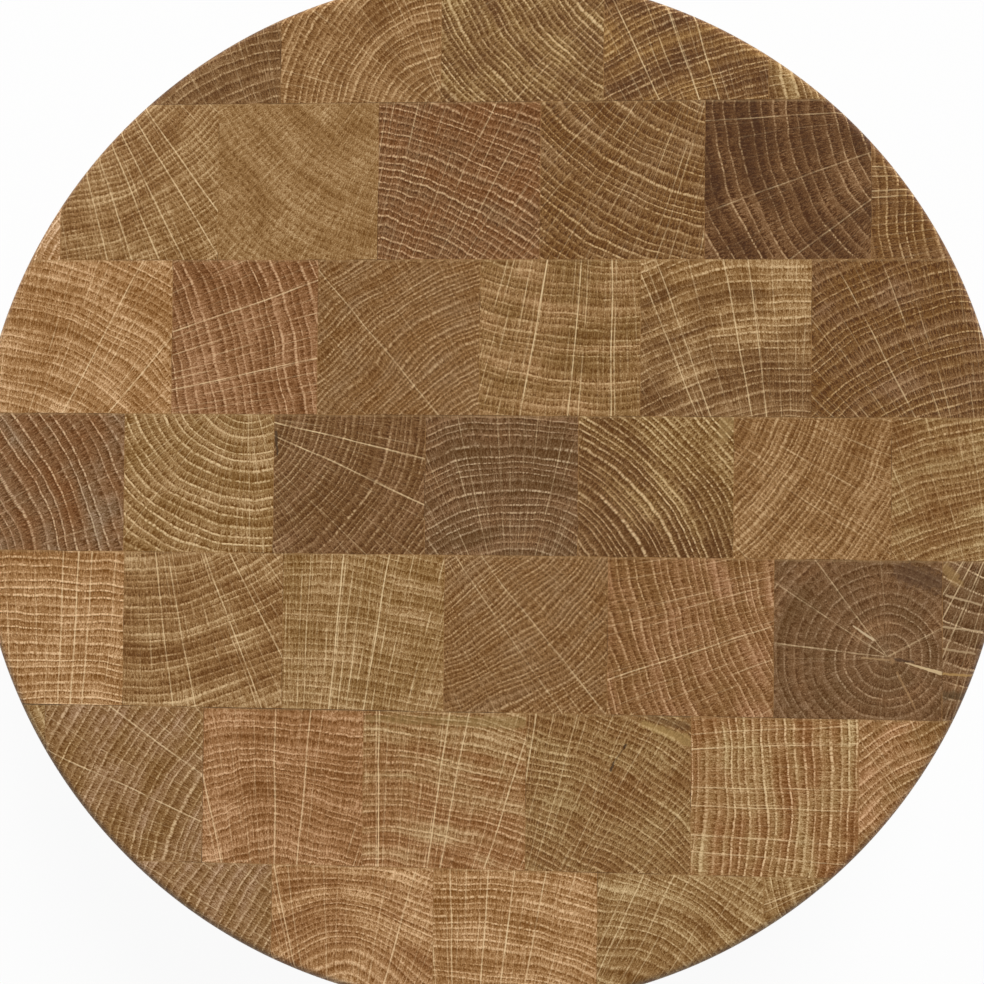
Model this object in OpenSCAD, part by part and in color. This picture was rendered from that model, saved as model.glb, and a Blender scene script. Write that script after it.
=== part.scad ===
// Round chopping block, glued up from end-grain oak sticks in seven rows.
// The disc lies on the XY plane, its axis is Z, and rows run along X, row 1 at +Y.

/* [Disc] */
// Diameter of the finished disc
disc_d = 353; // [320:1:400]
// Thickness of the finished disc, which is the length of every stick
thickness = 60; // [40:1:90]
// Radius of the rounding on the top and bottom rim
rim_r = 4; // [1:0.5:6]

/* [Oak sticks] */
// Width of the wide sticks, measured along a row
stick_w = 55.3; // [48:0.1:60]
// Depth of the wide sticks, measured across a row
stick_d = 53; // [48:0.5:58]
// Depth of the wide sticks in row 2, which are a little deeper than the rest
row2_stick_d = 53.8; // [48:0.1:58]
// Width of the narrow sticks of the middle row
narrow_stick_w = 52; // [46:0.1:60]
// Depth of the narrow sticks of the middle row
narrow_stick_d = 47.5; // [42:0.5:58]
// Widths of the four odd sticks in row 3, from its first joint
odd_stick_w = [50.6, 55.5, 54.3, 56.9]; // [48:0.1:60]

/* [Glue] */
// Thickness of the cured glue film in every joint
glue_t = 0.15; // [0.1:0.05:0.4]
// Narrowest sliver of oak that the maker leaves at the rim
least_sliver = 2; // [1:0.5:6]

/* [Layout] */
// Distance of the middle row's centre line from the disc's centre
middle_row_y = 1.1; // [-6:0.1:6]
// Place of the joint nearest the centre in row 1
row1_joint_x = -14.5; // [-20:0.1:20]
// Place of the joint nearest the centre in row 2
row2_joint_x = 19.7; // [-20:0.1:20]
// Place of the first joint in row 3
row3_first_joint_x = -106.5; // [-115:0.1:-95]
// Place of the joint nearest the centre in row 4
row4_joint_x = -18.6; // [-20:0.1:20]
// Place of the joint nearest the centre in row 5
row5_joint_x = -11.6; // [-20:0.1:20]
// Place of the joint nearest the centre in row 6
row6_joint_x = 16.6; // [-20:0.1:20]
// Place of the joint nearest the centre in row 7
row7_joint_x = -14.3; // [-20:0.1:20]

/* [Hidden] */
$fn = 180;
disc_r = disc_d / 2;
row_count = 7;
middle_row = 4;
odd_row = 3;

// The seven rows meet at six lines, counted down from row 1.
middle_row_top = middle_row_y + narrow_stick_d / 2;
middle_row_bottom = middle_row_y - narrow_stick_d / 2;
row_line_y = [
    middle_row_top + stick_d + row2_stick_d,
    middle_row_top + stick_d,
    middle_row_top,
    middle_row_bottom,
    middle_row_bottom - stick_d,
    middle_row_bottom - 2 * stick_d
];

// Top and bottom line of a row; the outer rows run out to the rim.
function row_top(row) = row == 1 ? disc_r : row_line_y[row - 2];
function row_bottom(row) = row == row_count ? -disc_r : row_line_y[row - 1];

// Half the length of a row at its longest line, which is the line nearest the centre.
function nearest_y(row) =
    row_bottom(row) > 0 ? row_bottom(row) : row_top(row) < 0 ? row_top(row) : 0;
function half_chord(row) = sqrt(max(0, disc_r * disc_r - pow(nearest_y(row), 2)));
function reach(row) = half_chord(row) - least_sliver;

// Even rows are laid both ways from one joint, and the odd row from its first joint.
anchor_x = [
    row1_joint_x, row2_joint_x, row3_first_joint_x, row4_joint_x,
    row5_joint_x, row6_joint_x, row7_joint_x
];
function pitch(row) = row == middle_row ? narrow_stick_w : stick_w;
function sum_to(list, n) = n == 0 ? 0 : list[n - 1] + sum_to(list, n - 1);
function even_joints(row, at, step) = [
    for (k = [ceil((-reach(row) - at) / step) : floor((reach(row) - at) / step)])
        at + k * step
];
function odd_joints(at) = [
    for (n = [0 : len(odd_stick_w)])
        let (x = at + sum_to(odd_stick_w, n))
        if (abs(x) < reach(odd_row)) x
];
joints = [
    for (row = [1 : row_count])
        row == odd_row ? odd_joints(anchor_x[row - 1])
                       : even_joints(row, anchor_x[row - 1], pitch(row))
];
function block_count(row) = len(joints[row - 1]) + 1;
function block_left(row, place) = place == 1 ? -disc_r : joints[row - 1][place - 2];
function block_right(row, place) =
    place == block_count(row) ? disc_r : joints[row - 1][place - 1];

// Oak tones by eye, and the tone of each stick from the left of its row.
tones = [
    ["dark", "#6E4B2E"], ["red", "#85583A"], ["brown", "#8A633C"], ["olive", "#8A6D42"],
    ["tan", "#9B7A4A"], ["orange", "#A57546"], ["yellow", "#AA834D"]
];
row_tones = [
    ["brown", "brown", "olive", "red", "tan"],
    ["orange", "brown", "orange", "red", "olive", "dark", "orange"],
    ["tan", "red", "brown", "olive", "tan", "brown"],
    ["red", "tan", "dark", "dark", "dark", "orange", "tan"],
    ["orange", "olive", "olive", "brown", "orange", "dark", "dark"],
    ["tan", "dark", "orange", "orange", "olive", "yellow", "brown"],
    ["dark", "orange", "orange", "yellow", "yellow"]
];
glue_tone = "#4A3422";
function tone_name(row, place) =
    row_tones[row - 1][min(place, len(row_tones[row - 1])) - 1];
function tone(row, place) =
    tones[search([tone_name(row, place)], tones)[0]][1];

function block_name(row, place) = str("row", row, "_block", place);
function row_glue_name(row) = str("glue_in_row", row);
function line_glue_name(line) = str("glue_rows_", line, "_", line + 1);

// The turned disc that every stick and glue film is trimmed to, with both rims rounded.
module turned_disc() {
    rotate_extrude()
        union() {
            square([disc_r - rim_r, thickness]);
            translate([0, rim_r]) square([disc_r, thickness - 2 * rim_r]);
            for (z = [rim_r, thickness - rim_r])
                translate([disc_r - rim_r, z]) circle(r = rim_r, $fn = 48);
        }
}

// One oak stick with its grain upright, between its row's lines and its two joints.
module oak_block(row, place) {
    left = block_left(row, place) + (place == 1 ? 0 : glue_t / 2);
    right = block_right(row, place) - (place == block_count(row) ? 0 : glue_t / 2);
    bottom = row_bottom(row) + (row == row_count ? 0 : glue_t / 2);
    top = row_top(row) - (row == 1 ? 0 : glue_t / 2);
    color(tone(row, place))
        intersection() {
            turned_disc();
            translate([left, bottom, 0])
                cube([right - left, top - bottom, thickness]);
        }
}

// The glue films between the sticks of one row.
module glue_in_row(row) {
    bottom = row_bottom(row) + (row == row_count ? 0 : glue_t / 2);
    top = row_top(row) - (row == 1 ? 0 : glue_t / 2);
    color(glue_tone)
        for (x = joints[row - 1])
            intersection() {
                turned_disc();
                translate([x - glue_t / 2, bottom, 0])
                    cube([glue_t, top - bottom, thickness]);
            }
}

// The glue film between two rows, in one sheet across the disc.
module glue_between_rows(line) {
    color(glue_tone)
        intersection() {
            turned_disc();
            translate([-disc_r, row_line_y[line - 1] - glue_t / 2, 0])
                cube([disc_d, glue_t, thickness]);
        }
}

for (row = [1 : row_count], place = [1 : block_count(row)])
    oak_block(row, place);
for (row = [1 : row_count])
    glue_in_row(row);
for (line = [1 : row_count - 1])
    glue_between_rows(line);
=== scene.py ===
import math

import bpy
from bpy.props import FloatProperty, FloatVectorProperty, IntProperty, PointerProperty
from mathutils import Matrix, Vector


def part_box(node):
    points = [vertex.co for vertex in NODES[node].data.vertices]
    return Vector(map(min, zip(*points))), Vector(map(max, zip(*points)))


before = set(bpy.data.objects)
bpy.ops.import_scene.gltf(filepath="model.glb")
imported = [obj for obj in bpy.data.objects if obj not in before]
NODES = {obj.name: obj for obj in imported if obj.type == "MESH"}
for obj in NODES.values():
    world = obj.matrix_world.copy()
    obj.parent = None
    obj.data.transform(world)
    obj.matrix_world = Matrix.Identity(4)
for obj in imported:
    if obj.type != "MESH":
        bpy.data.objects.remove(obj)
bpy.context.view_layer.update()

bl_info = {
    "name": "Round end-grain chopping block",
    "version": (1, 0, 0),
    "blender": (4, 5, 0),
    "location": "3D View > Sidebar > Chopping Block",
    "description": "Finishes a round block of oak sticks with end grain, glue lines and a studio",
    "category": "Object",
}

MM = 0.001
FACE_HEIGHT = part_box("row4_block4")[1].z
LAST_ROW = 7
# The floor lies this far under the block, so that the two don't share a plane.
FLOOR_DROP = 0.5 * MM
# Specular level of the wood and the glue: half the usual one, as neither is polished.
DULL = 0.25
GLUE_ROUGHNESS = 0.6

# Sizes in the wood, in mm, apart from BAND_YEARS, which counts years.
WANDER = 30.0
TREMBLE_WIDTH = 4.5
TREMBLE_LENGTH = 25.0
LINE_EDGE = 0.34
LINE_CORE = 0.05
GLOW_EDGE = 0.55
GLOW_CORE = 0.1
BEAD = 0.55
FADE = 12.0
TICK_WIDTH = 0.5
TICK_LENGTH = 1.8
RAY_LENGTH = 22.0
BRIGHT_EDGE = 0.36
BRIGHT_CORE = 0.05
BRIGHT_LENGTH = 6.0
FIBRE_WIDTH = 0.8
FIBRE_LENGTH = 7.0
BAND_LENGTH = 40.0
BAND_YEARS = 2.2
PATCH = 14.0
MOTTLE = 0.36
DARK_EDGE = 0.62
DARK_EDGE_HALF = 0.35
TONE_REACH = 35.0
MARK_SHAKE = 1.6
GLUE_CLOUD = 14.0
PALE_EDGE_OFFSET = 0.25


def linear(hex_colour):
    """An sRGB hex value as the linear colour that Blender's sockets take."""
    channels = [int(hex_colour[i:i + 2], 16) / 255 for i in (1, 3, 5)]
    channels = [c / 12.92 if c <= 0.04045 else ((c + 0.055) / 1.055) ** 2.4 for c in channels]
    return (*channels, 1.0)


# Planed and oiled oak on its end grain: the wood between the light lines. The values were typed,
# then corrected against the mean colours measured on each stick in the photo and the render.
TONES = {
    "smoked": linear("#5E3D1F"), "deep": linear("#6E4A28"), "umber": linear("#7C5528"),
    "dark": linear("#7A5630"), "red": linear("#8C5F38"), "brown": linear("#8F673B"),
    "olive": linear("#8E6B3D"), "tan": linear("#987244"), "orange": linear("#A07145"),
    "straw": linear("#9B7747"), "yellow": linear("#AA7D4D"), "honey": linear("#B38759"),
    "ashen": linear("#7A5B3B"), "dust": linear("#8E6843"),
}


def stick(pith, ring, tones, bright=(), **other):
    """One oak stick's grain. pith is the middle of the tree in mm from the block's middle, and ring
    the width of a year. tones are two of TONES, and bright has a place in mm on each main ray. side
    points to the second tone. lines, rays and comb are how clear the light lines, the rays and the
    dark ticks are. wobble and bump are how far the rings wander and tremble, in mm. swell is where
    the rings bulge outwards, how far and how wide. marks are cracks and stains, each with its start,
    its end, its width at the start and at the end, its softness, its colour and its strength."""
    grain = dict(lines=0.75, rays=0.55, comb=0.5, bands=1.0, wobble=4.5, bump=1.0, side=(0, 0),
                 swell=((0, 0), 0, 1), marks=())
    grain.update(other, pith=Vector(pith), ring=ring, tones=tones, bright=bright)
    return grain


# Thirty ring centres and most places of bright rays were read off the photo by eye and turned to
# these mm by another script. Six more centres follow, to within 7 mm, a program's fit to the
# directions of the rings: row1_block1, row3_block1, row4_block1, row4_block6, row5_block7 and
# row7_block4. Most ring widths were corrected after the spacing of the lines was measured.
STICKS = {
    "row1_block1": stick((-55, 62), 3.2, ("dark", "dark")),
    "row1_block2": stick((-8, 124), 2.35, ("brown", "brown"), wobble=6, marks=(
        ((-69.7, 131.7), (-69.7, 162), 0.15, 0.15, 0.12, "#2E1D0E", 0.6),)),
    "row1_block3": stick((96, 218), 2.0, ("dark", "olive"), lines=1.0, rays=0.6, comb=0.8, bands=0.5),
    "row1_block4": stick((122, -3), 2.0, ("deep", "umber"), (
        (53, 148.8), (68.4, 148.6), (77.1, 145.1)), lines=0.9, rays=0.7),
    "row1_block5": stick((206, 153), 2.5, ("dark", "olive")),
    "row2_block1": stick((-109, 62), 2.5, ("honey", "honey")),
    "row2_block2": stick((-158, 189), 1.8, ("brown", "tan"), (
        (-104.5, 103), (-125.5, 95.5), (-103, 112.5), (-132, 93), (-118.5, 97.5), (-112.5, 99)),
        side=(0.7, -0.7), lines=0.4),
    "row2_block3": stick((-8, 175), 2.5, ("tan", "tan"), lines=0.05, rays=0.3, bands=0.4, comb=0.35),
    "row2_block4": stick((-58, -18), 2.4, ("red", "deep"), bump=1.6, lines=1.1, rays=0.8, comb=0.7),
    "row2_block5": stick((96, 190), 2.8, ("umber", "dark"), lines=0.95, rays=0.8, comb=0.7),
    "row2_block6": stick((174, 128), 4.0, ("smoked", "deep"), (
        (94, 124.5), (96.5, 99.5), (119.5, 87.5)), lines=0.8, rays=0.25, comb=0.8),
    "row2_block7": stick((264, 104), 3.0, ("umber", "deep"), (
        (141, 107.5), (142, 104.5), (142.5, 100), (142.5, 98))),
    "row3_block1": stick((-170, -28), 2.7, ("yellow", "yellow"), ((-128.5, 51), (-116.5, 36)), lines=0.45),
    "row3_block2": stick((-244, 2), 3.0, ("red", "red"), ((-81, 60), (-81, 37)), rays=0.7),
    "row3_block3": stick((44, -44), 1.65, ("brown", "dark"), ((-29, 43.5),), rays=0.3, wobble=7, lines=0.6),
    "row3_block4": stick((47, 214), 2.5, ("olive", "brown"), ((20, 51.5), (34, 51.5), (46, 43)),
                         lines=0.5, rays=0.8),
    "row3_block5": stick((107, -56), 2.5, ("dark", "tan"), (
        (64, 51.5), (69.5, 52), (87.5, 54), (94.5, 52)), side=(0, 1), lines=0.65),
    "row3_block6": stick((175, -29), 2.9, ("umber", "deep"), rays=0.8, comb=0.7),
    "row4_block1": stick((-265, -62), 3.6, ("red", "ashen"), rays=0.5, lines=1.2, comb=0.6),
    "row4_block2": stick((-78, 36), 3.1, ("straw", "tan"), lines=1.1, rays=0.7, comb=0.6),
    "row4_block3": stick((-89, 26), 2.1, ("dark", "deep"), (
        (-29.4, -1.3), (-61.6, 19.5)), lines=0.65, marks=(
        ((-69.9, 18.8), (-69.4, 11), 0.7, 0.3, 0.4, "#3A2816", 0.8),)),
    "row4_block4": stick((13, -57), 2.6, ("ashen", "deep"), rays=0.7, lines=0.85, comb=0.6),
    "row4_block5": stick((3, -50), 2.2, ("dark", "olive"), lines=1.25, side=(0.7, 0.7), wobble=2.5,
                         rays=0.2, comb=0.9, marks=(((84, 24), (82, 18), 4, 1.5, 2, "#A88958", 0.45),)),
    "row4_block6": stick((8, 66), 1.75, ("brown", "brown"), lines=0.5),
    "row4_block7": stick((179, -86), 2.2, ("brown", "olive"), lines=0.55),
    "row5_block1": stick((-148, -349), 2.7, ("yellow", "yellow"), (
        (-142.5, -50), (-137.5, -50), (-133, -50)), lines=0.85),
    "row5_block2": stick((-118, 40), 2.6, ("brown", "tan"), (
        (-106.5, -48.5), (-100.5, -49), (-82.5, -50), (-76, -39)), lines=0.5),
    "row5_block3": stick((-64, -248), 2.5, ("straw", "tan"), ((-46.5, -49), (-32.5, -49)),
                         lines=0.35, rays=0.9),
    "row5_block4": stick((-56, 47), 1.65, ("brown", "dark"), (
        (16, -41), (23.5, -67)), rays=0.3, wobble=8, lines=0.6),
    "row5_block5": stick((253, 6), 2.7, ("brown", "red"), ((76.5, -54.5),), lines=0.65),
    "row5_block6": stick((138, -56), 3.2, ("ashen", "deep"), (
        (114.3, -53.3), (114.2, -40.5), (122.4, -35), (150.3, -49.1)),
        lines=0.5, rays=0.25, comb=0.4, wobble=3.5, marks=(
            ((142, -27), (153, -30), 4, 3, 3, "#4A3222", 0.5),
            ((125.3, -44.8), (131.7, -49.1), 0.2, 0.6, 0.25, "#D8BE97", 0.85),
            ((128.1, -55.2), (136.9, -55.8), 0.3, 0.3, 0.25, "#B9966A", 0.6),
            ((139.6, -59.9), (145.6, -71.7), 0.5, 0.2, 0.25, "#A9845A", 0.6),
            ((138.8, -55.6), (145, -56.3), 0.7, 0.2, 0.4, "#3A2415", 0.7),
            ((142.3, -56.6), (153.9, -59.9), 0.1, 1.0, 0.25, "#D3B68A", 0.95),
            ((138, -55.8), (138.2, -56.2), 0.7, 0.7, 0.7, "#A07C55", 0.7))),
    "row5_block7": stick((184, 13), 6.0, ("ashen", "deep"), ((156.3, -34.6), (160.3, -34.5), (164.8, -34.5)),
                         lines=1.1, rays=0.6, marks=(
        ((155.5, -25.5), (159.5, -30), 2.5, 1, 1.5, "#B08C58", 0.45),
        ((155.6, -34.1), (167.1, -37.1), 0.5, 0.3, 0.3, "#C2A57F", 0.75),
        ((154.5, -44.5), (167.2, -45.9), 0.4, 0.3, 0.3, "#C2A57F", 0.75),
        ((154.5, -51.8), (164.9, -53.2), 0.4, 0.3, 0.3, "#BFA17A", 0.65),
        ((154.6, -60.1), (165.3, -60.6), 0.5, 0.4, 0.3, "#B58F58", 0.75),
        ((155.6, -67.2), (162.1, -67.5), 1.5, 1.5, 1.5, "#4A3A22", 0.5))),
    "row6_block1": stick((-111, -60), 3.0, ("tan", "straw"), lines=0.5, marks=(
        ((-157.5, -75.8), (-149.4, -75.8), 0.2, 0.3, 0.15, "#1E130A", 0.85),)),
    "row6_block2": stick((-30, -143), 2.8, ("tan", "dust"), ((-116, -83.5), (-119, -104.5)), lines=0.65,
                         marks=(((-149.2, -75.8), (-144, -75.8), 0.3, 0.15, 0.15, "#1E130A", 0.85),)),
    "row6_block3": stick((-66, -214), 2.4, ("orange", "orange"), (
        (-90.5, -107.5), (-67, -101.5), (-57, -103)), bump=1.8, lines=0.55,
        swell=((-68, -112), 5, 24), marks=(
            ((-94, -75.78), (-38.8, -75.78), 0.15, 0.15, 0.12, "#2E1D0E", 0.7),
            ((-93.9, -76), (-93.9, -128.5), 0.15, 0.15, 0.12, "#2E1D0E", 0.6))),
    "row6_block4": stick((-31, -243), 2.1, ("orange", "tan"), (
        (-31.5, -102.5), (-11, -102), (-5.5, -102), (10.5, -110.5)), rays=0.7, side=(0, 0.5), lines=0.6,
        marks=(((-37, -78.5), (15, -79), 1.5, 2.5, 1.2, "#97804F", 0.35),
               ((-38.6, -75.78), (5, -75.78), 0.15, 0.1, 0.12, "#2E1D0E", 0.7))),
    "row6_block5": stick((2, -193), 2.4, ("brown", "olive"), ((20, -88),), wobble=6, lines=0.6, bands=0.7,
                         comb=0.65, rays=0.7, marks=(
        ((45.2, -94.3), (46, -91.7), 0.5, 0.4, 0.4, "#33200F", 0.85),
        ((46.1, -91.6), (50.1, -85.9), 0.1, 0.1, 0.3, "#3F2814", 0.6),
        ((49.6, -86.6), (50.3, -85.5), 0.4, 0.2, 0.4, "#33200F", 0.8),
        ((56, -78.5), (71, -84), 1.0, 2.5, 1.2, "#B7985F", 0.45),
        ((58, -76.5), (70, -79), 0.8, 2.0, 1.0, "#5A3F24", 0.45),
        ((52, -75.78), (71.8, -75.78), 0.15, 0.15, 0.12, "#2E1D0E", 0.7))),
    "row6_block6": stick((-200, -102), 2.7, ("orange", "straw"), (
        (99.5, -81), (99.5, -86.5), (99.5, -100.5), (99.5, -107), (99.5, -117.5), (99.5, -123.5)),
        lines=1.0, rays=0.35),
    "row6_block7": stick((211, -200), 3.0, ("tan", "orange")),
    "row7_block1": stick((6, -197), 3.0, ("tan", "dust")),
    "row7_block2": stick((-46, -227), 2.4, ("orange", "yellow"), (
        (-64, -145), (-23.5, -149)), wobble=5, lines=0.55, swell=((-39.9, -156), 8, 28)),
    "row7_block3": stick((-3, -287), 2.2, ("yellow", "yellow"), (
        (-13, -150), (-6.5, -148.5), (5, -148), (13, -148), (22.5, -148)), lines=0.55),
    "row7_block4": stick((-28, -320), 2.7, ("tan", "straw"), ((50.5, -147.5),), lines=0.6,
                         swell=((64, -154), 8, 28)),
    "row7_block5": stick((140, -122), 2.6, ("tan", "straw"), ((107, -135.5),)),
}
# How much dirt a joint has taken up: at 0 half of it is dark, and above 0 more. CLEAN is for all
# the other joints, of which a smaller part is dark.
DIRT = {"glue_rows_1_2": 0.15, "glue_rows_5_6": 0.06, "glue_rows_3_4": 0.0}
CLEAN = -0.08
MAIN_RAYS = 6
NO_RAY = 900.0
NEAREST_REACH = 15.0

MATH = "ShaderNodeMath"
VECTOR = "ShaderNodeVectorMath"
NOISE = "ShaderNodeTexNoise"
RANDOM = "ShaderNodeTexWhiteNoise"
RANGE = "ShaderNodeMapRange"
MIX = "ShaderNodeMix"
JOIN = "ShaderNodeCombineXYZ"


class OakFinish(bpy.types.PropertyGroup):
    """The oak's finish."""

    cream: FloatVectorProperty(
        name="Light lines", description="Colour of the rays and of the light line in every ring",
        subtype="COLOR", size=4, min=0, max=1, default=linear("#E9CC9D"))
    shade: FloatVectorProperty(
        name="Dark wood", description="Factor that darkens a stick's tone in its darkest places",
        size=4, min=0, max=1, default=(0.40, 0.265, 0.04, 1.0))
    light: FloatVectorProperty(
        name="Light wood", description="Factor that lightens a stick's tone in its lightest places",
        size=4, min=0, max=5, default=(2.2, 2.8, 4.3, 1.0))
    roughness: FloatProperty(
        name="Roughness", description="Roughness of the oiled end grain",
        subtype="FACTOR", min=0, max=1, default=0.5)
    relief: FloatProperty(
        name="Relief", description="Depth of the open pores and of the raised rays",
        subtype="DISTANCE", unit="LENGTH", min=0, max=0.001, default=0.06 * MM)


class GlueFinish(bpy.types.PropertyGroup):
    """The glue films' finish."""

    pale: FloatVectorProperty(
        name="Pale glue", description="Colour of the cured glue where the joint is clean",
        subtype="COLOR", size=4, min=0, max=1, default=linear("#9C7447"))
    dark: FloatVectorProperty(
        name="Dark glue", description="Colour of the cured glue where the joint has taken up dirt",
        subtype="COLOR", size=4, min=0, max=1, default=linear("#4A3018"))


class StudioSettings(bpy.types.PropertyGroup):
    """The floor, the light and the camera."""

    floor_size: FloatProperty(
        name="Floor", description="Side of the floor", unit="LENGTH", default=8.0)
    floor_colour: FloatVectorProperty(
        name="Floor colour", description="Colour of the floor and of the world behind it",
        subtype="COLOR", size=4, min=0, max=1, default=linear("#FEFEFE"))
    floor_white: FloatProperty(
        name="Floor white", description="How much of the floor's shadow the camera doesn't see",
        subtype="FACTOR", min=0, max=1, default=0.95)
    sky_light: FloatProperty(
        name="Room light", description="Even light from all round", min=0, default=0.2)
    lamp_power: FloatProperty(
        name="Lamp power", description="Power of the soft lamp over the far right side",
        subtype="POWER", min=0, default=600.0)
    lamp_size: FloatProperty(
        name="Lamp size", description="Side of the soft lamp", unit="LENGTH", default=3.0)
    lamp_place: FloatVectorProperty(
        name="Lamp place", description="Middle of the soft lamp", size=3, unit="LENGTH",
        subtype="TRANSLATION", default=(1.5, 5.4, 3.5))
    camera_height: FloatProperty(
        name="Camera height", description="Distance from the lens to the work face",
        unit="LENGTH", default=339 * MM)
    camera_lens: FloatProperty(
        name="Lens", description="Focal length on a 36 mm wide frame",
        subtype="DISTANCE_CAMERA", unit="CAMERA", default=36.6)
    camera_target: FloatVectorProperty(
        name="Target", description="Point of the work face in the picture's middle",
        size=2, unit="LENGTH", default=(4.3 * MM, -1.1 * MM))
    camera_lean: FloatVectorProperty(
        name="Lean", description="Turn of the camera about X, Y and Z, from straight down",
        subtype="EULER", size=3, default=(math.radians(0.55), math.radians(2.55), math.radians(0.54)))


def add_node(tree, kind, inputs=None, **settings):
    """Adds a node with its settings, and links or sets its inputs."""
    node = tree.nodes.new(kind)
    for name, value in settings.items():
        setattr(node, name, value)
    for socket, value in (inputs or {}).items():
        if isinstance(value, bpy.types.NodeSocket):
            tree.links.new(value, node.inputs[socket])
        else:
            node.inputs[socket].default_value = value
    return node


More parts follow.
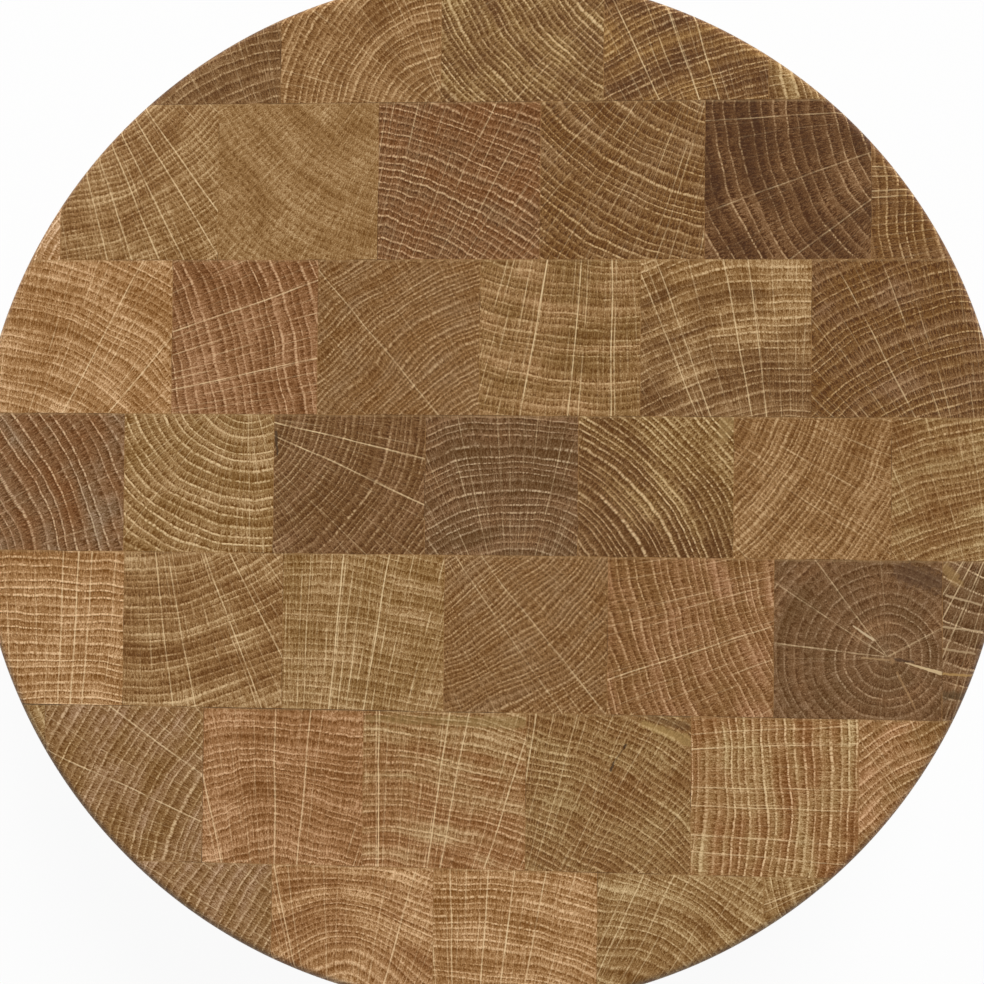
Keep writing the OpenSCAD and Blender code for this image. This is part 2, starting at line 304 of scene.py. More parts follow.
def end_grain_group(finish):
    """Oak end grain in mm. Places are taken round and away from the pith, so that the years lie in
    rings and the rays point outwards. Nothing changes along Z but a slight lean, so the sides of
    the block show long grain."""
    tree = bpy.data.node_groups.new("Oak end grain", "ShaderNodeTree")
    for name, kind in (
        ("Pith", "Vector"), ("Across", "Vector"), ("Middle", "Vector"), ("Reach", "Float"),
        ("Ring", "Float"), ("Wobble", "Float"), ("Bump", "Float"), ("Lines", "Float"),
        ("Swell place", "Vector"), ("Swell", "Float"), ("Swell reach", "Float"),
        ("Rays", "Float"), ("Comb", "Float"), ("Bands", "Float"), ("Bright 1-3", "Vector"),
        ("Bright 4-6", "Vector"), ("Seed", "Float"), ("Tone", "Color"), ("Second tone", "Color"),
        ("Second side", "Vector"),
    ):
        tree.interface.new_socket(name, in_out="INPUT", socket_type="NodeSocket" + kind)
    tree.interface.new_socket("Colour", in_out="OUTPUT", socket_type="NodeSocketColor")
    tree.interface.new_socket("Relief", in_out="OUTPUT", socket_type="NodeSocketFloat")
    given = add_node(tree, "NodeGroupInput").outputs
    result = add_node(tree, "NodeGroupOutput")

    # The place in mm, and the flat place that the rings are drawn on, which leans as it rises.
    place = add_node(tree, "ShaderNodeTexCoord").outputs["Object"]
    place = add_node(tree, VECTOR, {0: place, "Scale": 1 / MM}, operation="SCALE").outputs[0]
    height = add_node(tree, "ShaderNodeSeparateXYZ", {0: place}).outputs["Z"]
    lean = add_node(tree, VECTOR, {0: (0.03, -0.02, 0), "Scale": height}, operation="SCALE").outputs[0]
    flat = add_node(tree, VECTOR, {0: place, 1: (1, 1, 0), 2: lean}, operation="MULTIPLY_ADD").outputs[0]
    seeded = add_node(tree, VECTOR, {0: (37, 59, 0), "Scale": given["Seed"]}, operation="SCALE").outputs[0]
    own = add_node(tree, VECTOR, {0: flat, 1: seeded}).outputs[0]

    # Rings wander over a few cm.
    wander = add_node(tree, NOISE, {"Vector": own, "Scale": 1 / WANDER, "Detail": 1.0},
                      noise_dimensions="2D").outputs["Color"]
    wander = add_node(tree, VECTOR, {0: wander, 1: (-0.5, -0.5, 0)}).outputs[0]
    wander = add_node(tree, VECTOR, {0: wander, "Scale": given["Wobble"]}, operation="SCALE").outputs[0]
    bent = add_node(tree, VECTOR, {0: flat, 1: wander}).outputs[0]
    bent = add_node(tree, VECTOR, {0: bent, 1: given["Pith"]}, operation="SUBTRACT").outputs[0]
    bent = add_node(tree, VECTOR, {0: bent, 1: (1, 1, 0)}, operation="MULTIPLY").outputs[0]
    radius = add_node(tree, VECTOR, {0: bent}, operation="LENGTH").outputs["Value"]

    # A swelling of the trunk pushes the rings outwards round one place.
    swell = add_node(tree, VECTOR, {0: flat, 1: given["Swell place"]}, operation="DISTANCE").outputs["Value"]
    swell = add_node(tree, RANGE, {"Value": swell, "From Min": given["Swell reach"], "From Max": 0.0,
                                   "To Max": given["Swell"]}, interpolation_type="SMOOTHSTEP").outputs[0]
    radius = add_node(tree, MATH, {0: radius, 1: swell}, operation="SUBTRACT").outputs[0]

    # Round the pith in mm, at the distance of the stick's middle. Rays bend less than rings.
    spoke = add_node(tree, VECTOR, {0: wander, "Scale": 0.25}, operation="SCALE").outputs[0]
    spoke = add_node(tree, VECTOR, {0: spoke, 1: flat}).outputs[0]
    spoke = add_node(tree, VECTOR, {0: spoke, 1: given["Pith"]}, operation="SUBTRACT").outputs[0]
    toward = add_node(tree, VECTOR, {0: given["Across"], 1: (0, 0, 1)}, operation="CROSS_PRODUCT").outputs[0]
    ahead = add_node(tree, VECTOR, {0: spoke, 1: toward}, operation="DOT_PRODUCT").outputs["Value"]
    aside = add_node(tree, VECTOR, {0: spoke, 1: given["Across"]}, operation="DOT_PRODUCT").outputs["Value"]
    around = add_node(tree, MATH, {0: aside, 1: ahead}, operation="ARCTAN2").outputs[0]
    around = add_node(tree, MATH, {0: around, 1: given["Reach"]}, operation="MULTIPLY").outputs[0]
    own_around = add_node(tree, MATH, {0: given["Seed"], 1: 61.0, 2: around},
                          operation="MULTIPLY_ADD").outputs[0]
    spread = add_node(tree, MATH, {0: radius, 1: given["Reach"]}, operation="DIVIDE").outputs[0]

    # Years counted from the pith: wide and narrow ones, with edges that tremble from ray to ray.
    years = add_node(tree, MATH, {0: radius, 1: given["Ring"]}, operation="DIVIDE").outputs[0]
    uneven = add_node(tree, MATH, {0: years, 1: 0.35, 2: given["Seed"]}, operation="MULTIPLY_ADD").outputs[0]
    uneven = add_node(tree, NOISE, {"W": uneven, "Scale": 1.0, "Detail": 0.0},
                      noise_dimensions="1D").outputs["Fac"]
    years = add_node(tree, MATH, {0: uneven, 1: years}).outputs[0]
    along = add_node(tree, MATH, {0: own_around, 1: 1 / TREMBLE_WIDTH}, operation="MULTIPLY").outputs[0]
    outward = add_node(tree, MATH, {0: radius, 1: 1 / TREMBLE_LENGTH}, operation="MULTIPLY").outputs[0]
    along = add_node(tree, JOIN, {"X": along, "Y": outward}).outputs[0]
    tremble = add_node(tree, NOISE, {"Vector": along, "Scale": 1.0, "Detail": 4.0, "Roughness": 0.62},
                       noise_dimensions="2D").outputs["Fac"]
    tremble = add_node(tree, MATH, {0: tremble, 1: 0.5}, operation="SUBTRACT").outputs[0]
    tremble = add_node(tree, MATH, {0: tremble, 1: given["Bump"]}, operation="MULTIPLY").outputs[0]
    tremble = add_node(tree, MATH, {0: tremble, 1: given["Ring"]}, operation="DIVIDE").outputs[0]
    years = add_node(tree, MATH, {0: years, 1: tremble}).outputs[0]
    phase = add_node(tree, MATH, {0: years}, operation="FRACT").outputs[0]
    number = add_node(tree, MATH, {0: years}, operation="ROUND").outputs[0]
    number = add_node(tree, MATH, {0: given["Seed"], 1: 100.0, 2: number},
                      operation="MULTIPLY_ADD").outputs[0]
    chance = add_node(tree, RANDOM, {"W": number}, noise_dimensions="1D").outputs["Value"]

    # The light line of each year is about 0.4 mm wide, in a glow of about 0.65 mm. It is beaded in
    # steps of about BEAD and fades over FADE.
    off_line = add_node(tree, MATH, {0: years, 1: 0.5}, operation="PINGPONG").outputs[0]
    off_line = add_node(tree, MATH, {0: off_line, 1: given["Ring"]}, operation="MULTIPLY").outputs[0]
    line = add_node(tree, RANGE, {"Value": off_line, "From Min": LINE_EDGE, "From Max": LINE_CORE},
                    interpolation_type="SMOOTHSTEP").outputs[0]
    glow = add_node(tree, RANGE, {"Value": off_line, "From Min": GLOW_EDGE, "From Max": GLOW_CORE},
                    interpolation_type="SMOOTHSTEP").outputs[0]
    bare = add_node(tree, MATH, {0: 1.0, 1: glow}, operation="SUBTRACT").outputs[0]
    strength = add_node(tree, RANGE, {"Value": chance, "To Min": 0.35, "To Max": 1.0}).outputs[0]
    for pitch, low, high, least in ((BEAD, 0.35, 0.65, 0.15), (FADE, 0.3, 0.6, 0.4)):
        along = add_node(tree, MATH, {0: own_around, 1: 1 / pitch}, operation="MULTIPLY").outputs[0]
        each = add_node(tree, MATH, {0: number, 1: 7.3}, operation="MULTIPLY").outputs[0]
        along = add_node(tree, JOIN, {"X": along, "Y": each}).outputs[0]
        uneven = add_node(tree, NOISE, {"Vector": along, "Scale": 1.0, "Detail": 0.0},
                          noise_dimensions="2D").outputs["Fac"]
        uneven = add_node(tree, RANGE, {"Value": uneven, "From Min": low, "From Max": high,
                                        "To Min": least}).outputs[0]
        strength = add_node(tree, MATH, {0: strength, 1: uneven}, operation="MULTIPLY").outputs[0]
    strength = add_node(tree, MATH, {0: strength, 1: given["Lines"]}, operation="MULTIPLY").outputs[0]
    line = add_node(tree, MATH, {0: line, 1: strength}, operation="MULTIPLY").outputs[0]
    glow = add_node(tree, MATH, {0: glow, 1: strength}, operation="MULTIPLY").outputs[0]

    # Late wood darkens towards the next line in a comb of ticks, from a noise of TICK_WIDTH.
    along = add_node(tree, MATH, {0: own_around, 1: 1 / TICK_WIDTH}, operation="MULTIPLY").outputs[0]
    outward = add_node(tree, MATH, {0: radius, 1: 1 / TICK_LENGTH}, operation="MULTIPLY").outputs[0]
    along = add_node(tree, JOIN, {"X": along, "Y": outward}).outputs[0]
    tick = add_node(tree, NOISE, {"Vector": along, "Scale": 1.0, "Detail": 1.0},
                    noise_dimensions="2D").outputs["Fac"]
    tick = add_node(tree, RANGE, {"Value": tick, "From Min": 0.47, "From Max": 0.56}).outputs[0]
    late = add_node(tree, RANGE, {"Value": phase, "From Min": 0.15, "From Max": 0.8}).outputs[0]
    comb = add_node(tree, MATH, {0: tick, 1: late}, operation="MULTIPLY").outputs[0]
    comb = add_node(tree, MATH, {0: comb, 1: bare}, operation="MULTIPLY").outputs[0]
    comb = add_node(tree, MATH, {0: comb, 1: given["Comb"]}, operation="MULTIPLY").outputs[0]

    # Rays: light lines outwards from the pith, one in each space of 3.4 mm, and finer ones of 1.2 mm.
    ray = None
    for space, width, power in ((3.4, 0.3, 1.0), (1.2, 0.24, 0.35)):
        outward = add_node(tree, MATH, {0: radius, 1: 1 / RAY_LENGTH}, operation="MULTIPLY").outputs[0]
        along = add_node(tree, MATH, {0: own_around, 1: 1 / space}, operation="MULTIPLY").outputs[0]
        drift = add_node(tree, JOIN, {"X": along, "Y": outward}).outputs[0]
        drift = add_node(tree, NOISE, {"Vector": drift, "Scale": 0.5, "Detail": 0.0},
                         noise_dimensions="2D").outputs["Fac"]
        along = add_node(tree, MATH, {0: drift, 1: 0.5, 2: along}, operation="MULTIPLY_ADD").outputs[0]
        slot = add_node(tree, MATH, {0: along}, operation="FLOOR").outputs[0]
        chance = add_node(tree, RANDOM, {"W": slot}, noise_dimensions="1D").outputs["Color"]
        chance = add_node(tree, "ShaderNodeSeparateXYZ", {0: chance}).outputs
        spot = add_node(tree, MATH, {0: chance["X"], 1: 0.6, 2: 0.2}, operation="MULTIPLY_ADD").outputs[0]
        off_ray = add_node(tree, MATH, {0: along}, operation="FRACT").outputs[0]
        off_ray = add_node(tree, MATH, {0: off_ray, 1: spot}, operation="SUBTRACT").outputs[0]
        off_ray = add_node(tree, MATH, {0: off_ray}, operation="ABSOLUTE").outputs[0]
        off_ray = add_node(tree, MATH, {0: off_ray, 1: spread}, operation="MULTIPLY").outputs[0]
        one_ray = add_node(tree, RANGE, {"Value": off_ray, "From Min": width / space,
                                         "From Max": 0.25 * width / space},
                           interpolation_type="SMOOTHSTEP").outputs[0]
        slot = add_node(tree, MATH, {0: slot, 1: 5.3}, operation="MULTIPLY").outputs[0]
        outward = add_node(tree, MATH, {0: outward, 1: 1.4}, operation="MULTIPLY").outputs[0]
        broken = add_node(tree, JOIN, {"X": slot, "Y": outward}).outputs[0]
        broken = add_node(tree, NOISE, {"Vector": broken, "Scale": 1.0, "Detail": 2.0},
                          noise_dimensions="2D").outputs["Fac"]
        broken = add_node(tree, RANGE, {"Value": broken, "From Min": 0.35, "From Max": 0.6,
                                        "To Min": 0.15}).outputs[0]
        one_ray = add_node(tree, MATH, {0: one_ray, 1: broken}, operation="MULTIPLY").outputs[0]
        own_power = add_node(tree, RANGE, {"Value": chance["Y"], "To Min": 0.25 * power,
                                           "To Max": power}).outputs[0]
        one_ray = add_node(tree, MATH, {0: one_ray, 1: own_power}, operation="MULTIPLY").outputs[0]
        ray = one_ray if ray is None else add_node(tree, MATH, {0: ray, 1: one_ray},
                                                   operation="MAXIMUM").outputs[0]
    ray = add_node(tree, MATH, {0: ray, 1: given["Rays"]}, operation="MULTIPLY").outputs[0]

    # The brightest rays, about 0.4 mm wide, at the places given.
    nearest = None
    around_thrice = add_node(tree, JOIN, {"X": around, "Y": around, "Z": around}).outputs[0]
    for rays in ("Bright 1-3", "Bright 4-6"):
        off_rays = add_node(tree, VECTOR, {0: around_thrice, 1: given[rays]},
                            operation="SUBTRACT").outputs[0]
        off_rays = add_node(tree, VECTOR, {0: off_rays}, operation="ABSOLUTE").outputs[0]
        off_rays = add_node(tree, "ShaderNodeSeparateXYZ", {0: off_rays}).outputs
        for axis in "XYZ":
            nearest = off_rays[axis] if nearest is None else add_node(
                tree, MATH, {0: nearest, 1: off_rays[axis]}, operation="MINIMUM").outputs[0]
    nearest = add_node(tree, MATH, {0: nearest, 1: spread}, operation="MULTIPLY").outputs[0]
    bright = add_node(tree, RANGE, {"Value": nearest, "From Min": BRIGHT_EDGE, "From Max": BRIGHT_CORE},
                      interpolation_type="SMOOTHSTEP").outputs[0]
    outward = add_node(tree, MATH, {0: radius, 1: 1 / BRIGHT_LENGTH}, operation="MULTIPLY").outputs[0]
    along = add_node(tree, JOIN, {"X": own_around, "Y": outward}).outputs[0]
    faded = add_node(tree, NOISE, {"Vector": along, "Scale": 1.0, "Detail": 1.0},
                     noise_dimensions="2D").outputs["Fac"]
    faded = add_node(tree, RANGE, {"Value": faded, "From Min": 0.3, "From Max": 0.6,
                                   "To Min": 0.45}).outputs[0]
    bright = add_node(tree, MATH, {0: bright, 1: faded}, operation="MULTIPLY").outputs[0]
    clear = add_node(tree, RANGE, {"Value": given["Rays"], "To Min": 0.35, "To Max": 1.3}).outputs[0]
    bright = add_node(tree, MATH, {0: bright, 1: clear}, operation="MULTIPLY").outputs[0]

    # Soft fibre streaks, bands of years, wide patches and a mottle finer than a mm.
    along = add_node(tree, MATH, {0: own_around, 1: 1 / FIBRE_WIDTH}, operation="MULTIPLY").outputs[0]
    outward = add_node(tree, MATH, {0: radius, 1: 1 / FIBRE_LENGTH}, operation="MULTIPLY").outputs[0]
    along = add_node(tree, JOIN, {"X": along, "Y": outward}).outputs[0]
    streak = add_node(tree, NOISE, {"Vector": along, "Scale": 1.0, "Detail": 2.0},
                      noise_dimensions="2D").outputs["Fac"]
    along = add_node(tree, MATH, {0: own_around, 1: 1 / BAND_LENGTH}, operation="MULTIPLY").outputs[0]
    outward = add_node(tree, MATH, {0: years, 1: 1 / BAND_YEARS}, operation="MULTIPLY").outputs[0]
    along = add_node(tree, JOIN, {"X": along, "Y": outward}).outputs[0]
    band = add_node(tree, NOISE, {"Vector": along, "Scale": 1.0, "Detail": 1.0},
                    noise_dimensions="2D").outputs["Fac"]
    patch = add_node(tree, NOISE, {"Vector": own, "Scale": 1 / PATCH, "Detail": 2.0},
                     noise_dimensions="2D").outputs["Fac"]
    pinch = add_node(tree, VECTOR, {0: place, 1: (1, 1, 0.04)}, operation="MULTIPLY").outputs[0]
    mottle = add_node(tree, NOISE, {"Vector": pinch, "Scale": 1 / MOTTLE, "Detail": 2.0,
                                    "Roughness": 0.75}).outputs["Fac"]

    # The wood between the lines: 0.5 is the stick's tone, 0 its darkest and 1 its lightest shade.
    wood = add_node(tree, MATH, {0: band, 1: 0.5}, operation="SUBTRACT").outputs[0]
    wood = add_node(tree, MATH, {0: wood, 1: 0.6}, operation="MULTIPLY").outputs[0]
    wood = add_node(tree, MATH, {0: wood, 1: given["Bands"], 2: 0.5}, operation="MULTIPLY_ADD").outputs[0]
    for part, share in ((streak, 0.55), (patch, 0.4), (mottle, 1.6)):
        part = add_node(tree, MATH, {0: part, 1: share, 2: -share / 2}, operation="MULTIPLY_ADD").outputs[0]
        wood = add_node(tree, MATH, {0: wood, 1: part}).outputs[0]
    wood = add_node(tree, MATH, {0: wood, 1: comb}, operation="SUBTRACT").outputs[0]
    wood = add_node(tree, MATH, {0: late, 1: -0.05, 2: wood}, operation="MULTIPLY_ADD").outputs[0]
    edge = add_node(tree, MATH, {0: off_line, 1: DARK_EDGE}, operation="SUBTRACT").outputs[0]
    edge = add_node(tree, MATH, {0: edge}, operation="ABSOLUTE").outputs[0]
    edge = add_node(tree, RANGE, {"Value": edge, "From Min": DARK_EDGE_HALF, "From Max": 0.0}).outputs[0]
    edge = add_node(tree, MATH, {0: edge, 1: strength}, operation="MULTIPLY").outputs[0]
    wood = add_node(tree, MATH, {0: edge, 1: -0.35, 2: wood}, operation="MULTIPLY_ADD").outputs[0]
    wood = add_node(tree, MATH, {0: glow, 1: 0.85, 2: wood}, operation="MULTIPLY_ADD").outputs[0]
    wood = add_node(tree, MATH, {0: ray, 1: 0.5, 2: wood}, operation="MULTIPLY_ADD").outputs[0]
    wood = add_node(tree, MATH, {0: bright, 1: 0.5, 2: wood}, operation="MULTIPLY_ADD").outputs[0]

    # The lines and rays over it: 0 is the wood and 1 the cream of a ray.
    cream = add_node(tree, MATH, {0: mottle, 1: 0.5, 2: -0.25}, operation="MULTIPLY_ADD").outputs[0]
    cream = add_node(tree, MATH, {0: line, 1: 0.7, 2: cream}, operation="MULTIPLY_ADD").outputs[0]
    cream = add_node(tree, MATH, {0: ray, 1: 0.7, 2: cream}, operation="MULTIPLY_ADD").outputs[0]
    cream = add_node(tree, MATH, {0: bright, 1: 0.7, 2: cream}, operation="MULTIPLY_ADD").outputs[0]
    cream = add_node(tree, RANGE, {"Value": cream}).outputs[0]
    light = add_node(tree, MATH, {0: wood, 1: cream}).outputs[0]

    # Two tones lie in patches, the second more towards its side.
    from_middle = add_node(tree, VECTOR, {0: flat, 1: given["Middle"]}, operation="SUBTRACT").outputs[0]
    second = add_node(tree, VECTOR, {0: from_middle, 1: given["Second side"]},
                      operation="DOT_PRODUCT").outputs["Value"]
    second = add_node(tree, MATH, {0: second, 1: 1 / TONE_REACH}, operation="MULTIPLY").outputs[0]
    second = add_node(tree, MATH, {0: band, 1: 1.5, 2: second}, operation="MULTIPLY_ADD").outputs[0]
    second = add_node(tree, MATH, {0: patch, 1: 1.5, 2: second}, operation="MULTIPLY_ADD").outputs[0]
    second = add_node(tree, RANGE, {"Value": second, "From Min": 1.0, "From Max": 2.0}).outputs[0]
    tone = add_node(tree, MIX, {0: second, 6: given["Tone"], 7: given["Second tone"]},
                    data_type="RGBA").outputs[2]
    shade = add_node(tree, MIX, {0: 1.0, 6: tone, 7: tuple(finish.shade)},
                     data_type="RGBA", blend_type="MULTIPLY").outputs[2]
    sheen = add_node(tree, MIX, {0: 1.0, 6: tone, 7: tuple(finish.light)},
                     data_type="RGBA", blend_type="MULTIPLY").outputs[2]
    lower = add_node(tree, RANGE, {"Value": wood, "From Min": 0.0, "From Max": 0.5}).outputs[0]
    upper = add_node(tree, RANGE, {"Value": wood, "From Min": 0.5, "From Max": 1.0}).outputs[0]
    colour = add_node(tree, MIX, {0: lower, 6: shade, 7: tone}, data_type="RGBA").outputs[2]
    colour = add_node(tree, MIX, {0: upper, 6: colour, 7: sheen}, data_type="RGBA").outputs[2]
    cream = add_node(tree, MATH, {0: cream, 1: 1.35}, operation="POWER").outputs[0]
    colour = add_node(tree, MIX, {0: cream, 6: colour, 7: tuple(finish.cream)},
                      data_type="RGBA").outputs[2]
    tree.links.new(colour, result.inputs["Colour"])
    tree.links.new(light, result.inputs["Relief"])
    return tree


def mark_group():
    """A crack or a stain in mm: a colour laid along a line that wanders a little and narrows."""
    tree = bpy.data.node_groups.new("Wood mark", "ShaderNodeTree")
    for name, kind in (("Colour", "Color"), ("Start", "Vector"), ("Along", "Vector"), ("Wide", "Float"),
                       ("Narrow", "Float"), ("Soft", "Float"), ("Mark", "Color"), ("Amount", "Float")):
        tree.interface.new_socket(name, in_out="INPUT", socket_type="NodeSocket" + kind)
    tree.interface.new_socket("Colour", in_out="OUTPUT", socket_type="NodeSocketColor")
    given = add_node(tree, "NodeGroupInput").outputs
    result = add_node(tree, "NodeGroupOutput")
    place = add_node(tree, "ShaderNodeTexCoord").outputs["Object"]
    place = add_node(tree, VECTOR, {0: place, "Scale": 1 / MM}, operation="SCALE").outputs[0]
    flat = add_node(tree, VECTOR, {0: place, 1: (1, 1, 0)}, operation="MULTIPLY").outputs[0]
    shake = add_node(tree, NOISE, {"Vector": flat, "Scale": 1 / MARK_SHAKE, "Detail": 3.0},
                     noise_dimensions="2D").outputs["Color"]
    shake = add_node(tree, VECTOR, {0: shake, 1: (-0.5, -0.5, 0)}).outputs[0]
    shake = add_node(tree, VECTOR, {0: shake, 1: (1, 1, 0)}, operation="MULTIPLY").outputs[0]
    loose = add_node(tree, MATH, {0: given["Wide"], 1: given["Soft"]}).outputs[0]
    shake = add_node(tree, VECTOR, {0: shake, "Scale": loose}, operation="SCALE").outputs[0]
    flat = add_node(tree, VECTOR, {0: flat, 1: shake}).outputs[0]
    flat = add_node(tree, VECTOR, {0: flat, 1: given["Start"]}, operation="SUBTRACT").outputs[0]
    run = add_node(tree, VECTOR, {0: flat, 1: given["Along"]}, operation="DOT_PRODUCT").outputs["Value"]
    whole = add_node(tree, VECTOR, {0: given["Along"], 1: given["Along"]},
                     operation="DOT_PRODUCT").outputs["Value"]
    run = add_node(tree, MATH, {0: run, 1: whole}, operation="DIVIDE", use_clamp=True).outputs[0]
    nearest = add_node(tree, VECTOR, {0: given["Along"], "Scale": run}, operation="SCALE").outputs[0]
    off = add_node(tree, VECTOR, {0: flat, 1: nearest}, operation="DISTANCE").outputs["Value"]
    half = add_node(tree, RANGE, {"Value": run, "To Min": given["Wide"],
                                  "To Max": given["Narrow"]}).outputs[0]
    half = add_node(tree, MATH, {0: half, 1: 0.5}, operation="MULTIPLY").outputs[0]
    edge = add_node(tree, MATH, {0: half, 1: given["Soft"]}).outputs[0]
    cover = add_node(tree, RANGE, {"Value": off, "From Min": edge, "From Max": half},
                     interpolation_type="SMOOTHSTEP").outputs[0]
    cover = add_node(tree, MATH, {0: cover, 1: given["Amount"]}, operation="MULTIPLY").outputs[0]
    colour = add_node(tree, MIX, {0: cover, 6: given["Colour"], 7: given["Mark"]},
                      data_type="RGBA").outputs[2]
    tree.links.new(colour, result.inputs["Colour"])
    return tree


def pale_edge(low, high):
    """The far edge of a stick below a joint, which the glue has left a little paler."""
    near = high.y / MM - PALE_EDGE_OFFSET
    return (low.x / MM, near), (high.x / MM, near), 0.3, 0.3, 0.45, "#BC9A6C", 0.2


def oak_material(name, grain, middle, seed, group, finish):
    """Oak with its pores open, planed across the grain, sanded and oiled: matt and warm, its lines
    a little raised."""
    material = bpy.data.materials.new(f"Oiled oak end grain {name}")
    material.use_nodes = True
    tree = material.node_tree
    tree.nodes.clear()
    pith = grain["pith"]
    toward = (middle - pith).normalized()
    across = Vector((-toward.y, toward.x))
    reach = max((middle - pith).length, NEAREST_REACH)
    bright = [reach * math.atan2((Vector(spot) - pith).dot(across), (Vector(spot) - pith).dot(toward))
              for spot in grain["bright"]]
    bright += [NO_RAY] * (MAIN_RAYS - len(bright))
    wood = add_node(tree, "ShaderNodeGroup", node_tree=group)
    for socket, value in (
        ("Pith", (*pith, 0)), ("Across", (*across, 0)), ("Middle", (*middle, 0)), ("Reach", reach),
        ("Ring", grain["ring"]), ("Wobble", grain["wobble"]), ("Bump", grain["bump"]),
        ("Swell place", (*grain["swell"][0], 0)), ("Swell", grain["swell"][1]),
        ("Swell reach", grain["swell"][2]),
        ("Lines", grain["lines"]), ("Rays", grain["rays"]), ("Comb", grain["comb"]),
        ("Bands", grain["bands"]), ("Bright 1-3", bright[:3]), ("Bright 4-6", bright[3:]), ("Seed", seed),
        ("Tone", TONES[grain["tones"][0]]), ("Second tone", TONES[grain["tones"][1]]),
        ("Second side", (*grain["side"], 0)),
    ):
        wood.inputs[socket].default_value = value
    colour = wood.outputs["Colour"]
    for start, end, wide, narrow, soft, mark, amount in grain["marks"]:
        along = Vector(end) - Vector(start)
        colour = add_node(tree, "ShaderNodeGroup", {
            "Colour": colour, "Start": (*start, 0), "Along": (*along, 0), "Wide": wide, "Narrow": narrow,
            "Soft": soft, "Mark": linear(mark), "Amount": amount},
            node_tree=bpy.data.node_groups.get("Wood mark") or mark_group()).outputs[0]
    bump = add_node(tree, "ShaderNodeBump", {"Height": wood.outputs["Relief"], "Strength": 0.5,
                                             "Distance": finish.relief}).outputs[0]
    skin = add_node(tree, "ShaderNodeBsdfPrincipled",
                    {"Base Color": colour, "Normal": bump, "Roughness": finish.roughness,
                     "Specular IOR Level": DULL})
    add_node(tree, "ShaderNodeOutputMaterial", {"Surface": skin.outputs[0]})
    return material


def glue_material(name, finish, dirt):
    """Cured wood glue: a honey film, flush with the wood and as matt, darker where it took up dirt."""
    material = bpy.data.materials.new(f"Cured wood glue {name}")
    material.use_nodes = True
    tree = material.node_tree
    tree.nodes.clear()
    place = add_node(tree, "ShaderNodeTexCoord").outputs["Object"]
    place = add_node(tree, VECTOR, {0: place, "Scale": 1 / MM}, operation="SCALE").outputs[0]
    cloud = add_node(tree, NOISE, {"Vector": place, "Scale": 1 / GLUE_CLOUD, "Detail": 2.0}).outputs["Fac"]
    cloud = add_node(tree, MATH, {0: cloud, 1: dirt}).outputs[0]
    dirty = add_node(tree, RANGE, {"Value": cloud, "From Min": 0.4, "From Max": 0.6},
                     interpolation_type="SMOOTHSTEP").outputs[0]
    film = add_node(tree, MIX, {0: dirty, 6: tuple(finish.pale), 7: tuple(finish.dark)},
                    data_type="RGBA").outputs[2]
    skin = add_node(tree, "ShaderNodeBsdfPrincipled", {"Base Color": film, "Roughness": GLUE_ROUGHNESS,
                                                       "Specular IOR Level": DULL})
    add_node(tree, "ShaderNodeOutputMaterial", {"Surface": skin.outputs[0]})
    return material


def dress(node, material):
    """Gives a CAD node one material."""
    mesh = NODES[node].data
    mesh.materials.clear()
    mesh.materials.append(material)


class BLOCK_OT_dress_row(bpy.types.Operator):
    """Gives every stick of a row its own oak end grain"""

    bl_idname = "block.dress_row"
    bl_label = "Dress a row of sticks"
    row: IntProperty(
        name="Row", description="Row, counted from the far side", min=1, max=LAST_ROW, default=1)

    def execute(self, context):
        finish = context.scene.oak_finish
        group = bpy.data.node_groups.get("Oak end grain") or end_grain_group(finish)
        names = [name for name in STICKS if name.startswith(f"row{self.row}_")]
        for place, name in enumerate(names, 1):
            low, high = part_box(name)
            middle = ((low + high) / 2).xy / MM
            grain = dict(STICKS[name])
            if self.row > 1:
                grain["marks"] += (pale_edge(low, high),)
            dress(name, oak_material(name, grain, middle, self.row + place * 0.1, group, finish))
        return {"FINISHED"}


class BLOCK_OT_dress_glue(bpy.types.Operator):
    """Gives the glue films their colour"""

    bl_idname = "block.dress_glue"
    bl_label = "Dress the glue"

    def execute(self, context):
        for name in NODES:
            if name.startswith("glue_"):
                dress(name, glue_material(name, context.scene.glue_finish, DIRT.get(name, CLEAN)))
        return {"FINISHED"}


def seen_directly(tree):
    """1 where the camera looks straight at a surface, or in a mirror or through glass."""
    path = add_node(tree, "ShaderNodeLightPath").outputs
    seen = add_node(tree, MATH, {0: path["Is Camera Ray"], 1: path["Is Glossy Ray"]},
                    operation="MAXIMUM").outputs[0]
    return add_node(tree, MATH, {0: seen, 1: path["Is Transmission Ray"]}, operation="MAXIMUM").outputs[0]


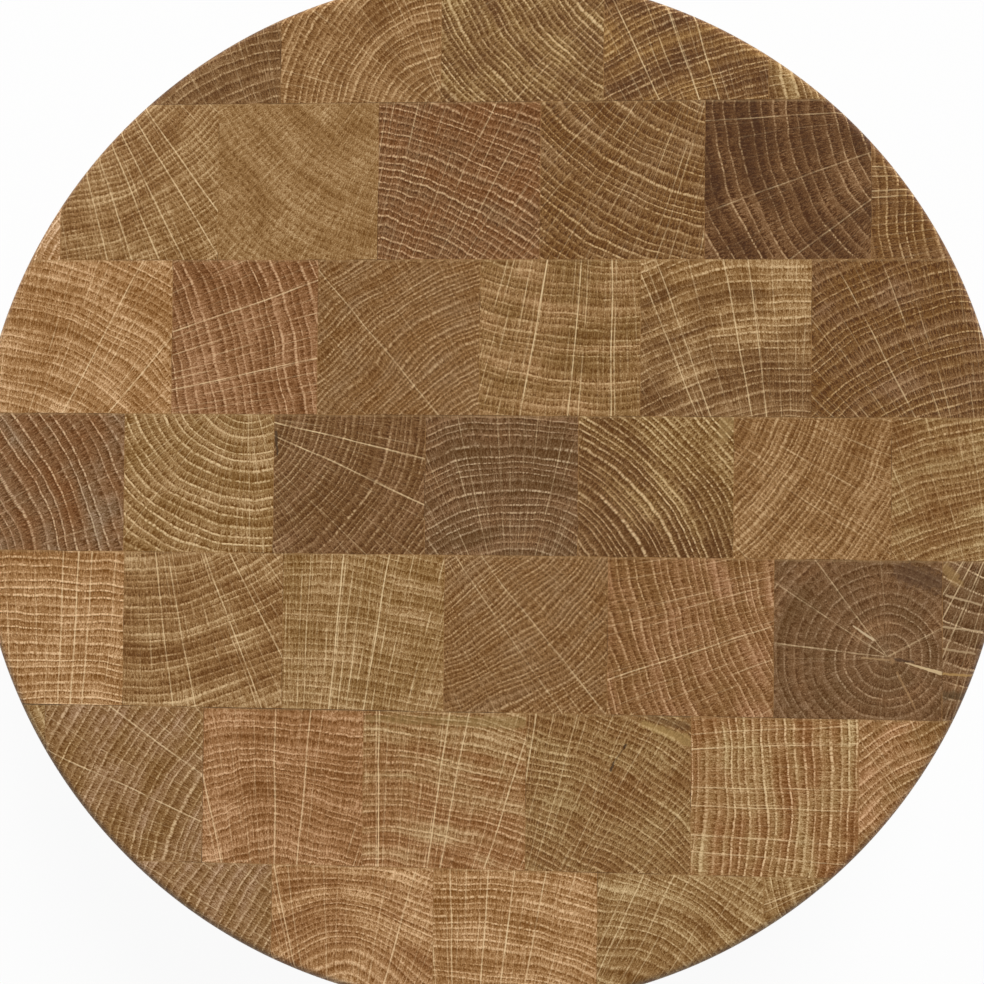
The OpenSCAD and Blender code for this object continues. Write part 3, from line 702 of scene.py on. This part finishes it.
class BLOCK_OT_set_stage(bpy.types.Operator):
    """Lays the floor and sets the world, the lamp and the camera"""

    bl_idname = "block.set_stage"
    bl_label = "Set the stage"

    def execute(self, context):
        studio = context.scene.studio
        bpy.ops.object.select_all(action="DESELECT")
        bpy.ops.mesh.primitive_plane_add(size=studio.floor_size)
        floor = context.object
        floor.location.z = -FLOOR_DROP
        floor.name = "floor"
        paper = bpy.data.materials.new("White paper floor")
        paper.use_nodes = True
        tree = paper.node_tree
        tree.nodes.clear()
        skin = add_node(tree, "ShaderNodeBsdfDiffuse", {"Color": tuple(studio.floor_colour)})
        glow = add_node(tree, "ShaderNodeEmission", {"Color": tuple(studio.floor_colour), "Strength": 1.0})
        seen = add_node(tree, MATH, {0: seen_directly(tree), 1: studio.floor_white},
                        operation="MULTIPLY").outputs[0]
        skin = add_node(tree, "ShaderNodeMixShader", {0: seen, 1: skin.outputs[0], 2: glow.outputs[0]})
        add_node(tree, "ShaderNodeOutputMaterial", {"Surface": skin.outputs[0]})
        floor.data.materials.append(paper)

        world = bpy.data.worlds.new("Bright room")
        world.use_nodes = True
        world.node_tree.nodes.clear()
        tree = world.node_tree
        strength = add_node(tree, RANGE, {"Value": seen_directly(tree), "To Min": studio.sky_light,
                                          "To Max": 1.0}).outputs[0]
        sky = add_node(tree, "ShaderNodeBackground", {"Color": (1, 1, 1, 1), "Strength": strength})
        add_node(tree, "ShaderNodeOutputWorld", {"Surface": sky.outputs[0]})
        context.scene.world = world

        lamp = bpy.data.objects.new("window lamp", bpy.data.lights.new("window lamp", "AREA"))
        lamp.data.shape = "SQUARE"
        lamp.data.size = studio.lamp_size
        lamp.data.energy = studio.lamp_power
        lamp.location = studio.lamp_place
        # The block stays dull under it, as in the photo; only the room's even light shines on it.
        lamp.visible_glossy = False
        aim = Vector((0, 0, FACE_HEIGHT)) - lamp.location
        lamp.rotation_euler = aim.to_track_quat("-Z", "Y").to_euler()
        context.scene.collection.objects.link(lamp)

        camera = bpy.data.objects.new("camera", bpy.data.cameras.new("camera"))
        camera.data.sensor_width = 36
        camera.data.lens = studio.camera_lens
        camera.data.clip_start = 0.01
        camera.data.clip_end = 50
        camera.rotation_euler = studio.camera_lean
        back = camera.rotation_euler.to_matrix() @ Vector((0, 0, 1))
        camera.location = Vector((*studio.camera_target, FACE_HEIGHT)) + back * studio.camera_height
        context.scene.collection.objects.link(camera)
        context.scene.camera = camera
        context.scene.view_settings.view_transform = "Standard"
        return {"FINISHED"}


class BLOCK_PT_panel(bpy.types.Panel):
    """Lists the steps and the sizes and colours that they read"""

    bl_label = "Chopping Block"
    bl_idname = "BLOCK_PT_panel"
    bl_space_type = "VIEW_3D"
    bl_region_type = "UI"
    bl_category = "Chopping Block"

    def draw(self, context):
        for title, group in (("Oak", context.scene.oak_finish), ("Glue", context.scene.glue_finish),
                             ("Studio", context.scene.studio)):
            box = self.layout.box()
            box.label(text=title)
            for name in group.__annotations__:
                box.prop(group, name)
        self.layout.operator("block.dress_row")
        self.layout.operator("block.dress_glue")
        self.layout.operator("block.set_stage")


CLASSES = (OakFinish, GlueFinish, StudioSettings, BLOCK_OT_dress_row, BLOCK_OT_dress_glue,
           BLOCK_OT_set_stage, BLOCK_PT_panel)


def register():
    for cls in CLASSES:
        bpy.utils.register_class(cls)
    bpy.types.Scene.oak_finish = PointerProperty(type=OakFinish)
    bpy.types.Scene.glue_finish = PointerProperty(type=GlueFinish)
    bpy.types.Scene.studio = PointerProperty(type=StudioSettings)


def unregister():
    del bpy.types.Scene.studio
    del bpy.types.Scene.glue_finish
    del bpy.types.Scene.oak_finish
    for cls in reversed(CLASSES):
        bpy.utils.unregister_class(cls)


def main():
    register()
    for row in range(1, LAST_ROW + 1):
        bpy.ops.block.dress_row(row=row)
    bpy.ops.block.dress_glue()
    bpy.ops.block.set_stage()
    bpy.context.view_layer.update()


if __name__ == "__main__":
    main()
